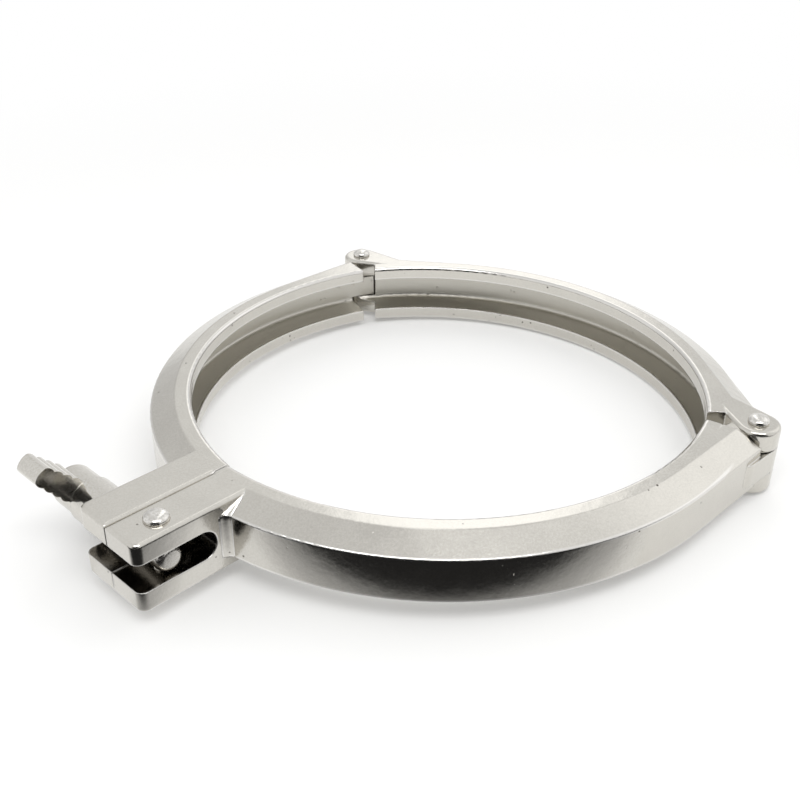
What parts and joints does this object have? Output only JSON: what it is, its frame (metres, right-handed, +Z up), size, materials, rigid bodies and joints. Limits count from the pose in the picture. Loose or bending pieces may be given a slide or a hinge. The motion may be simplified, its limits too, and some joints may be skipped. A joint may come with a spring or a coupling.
{
  "type": "hinged pipe clamp",
  "caption": "Cast steel hinged clamp of three grooved arcs, with riveted hinges, a swing bolt and a long wing nut.",
  "frame": {"origin": "centre of the front arc, half way up its section", "axes": "+Z upwards along the hinge pins, +Y from the front arc towards the back hinge, +X towards the right hinge"},
  "size_m": [0.2168, 0.1954, 0.0324],
  "materials": {
    "cast_steel": "fine-grained satin casting with bright rubbed edges",
    "pin_steel": "bright polished",
    "bolt_steel": "plain turned",
    "nut_steel": "satin casting"
  },
  "bodies": {
    "front_arc": {"front_segment": "cast_steel", "bolt_pivot_pin": "pin_steel"},
    "middle_arc": {"middle_segment": "cast_steel", "right_hinge_pin": "pin_steel", "back_hinge_pin": "pin_steel"},
    "left_arc": {"left_segment": "cast_steel"},
    "bolt": {"swing_bolt": "bolt_steel"},
    "nut": {"wing_nut": "nut_steel"}
  },
  "joints": [
    {"name": "right_hinge", "type": "hinge", "parent": "front_arc", "child": "middle_arc", "pos_m": [0.09591, -0.03529, 0], "axis": [0, 0, 1], "range_deg": [-120, 0]},
    {"name": "back_hinge", "type": "hinge", "parent": "middle_arc", "child": "left_arc", "pos_m": [-0.03157, 0.08569, 0], "axis": [0, 0, 1], "range_deg": [-120, 0]},
    {"name": "bolt_swing", "type": "hinge", "parent": "front_arc", "child": "bolt", "pos_m": [-0.07177, -0.09122, 0], "axis": [0, 0, 1], "range_deg": [-5, 175]},
    {"name": "nut_spin", "type": "hinge", "parent": "bolt", "child": "nut", "pos_m": [-0.08835, -0.07624, 0], "axis": [-0.742, 0.6704, 0], "continuous": true}
  ]
}
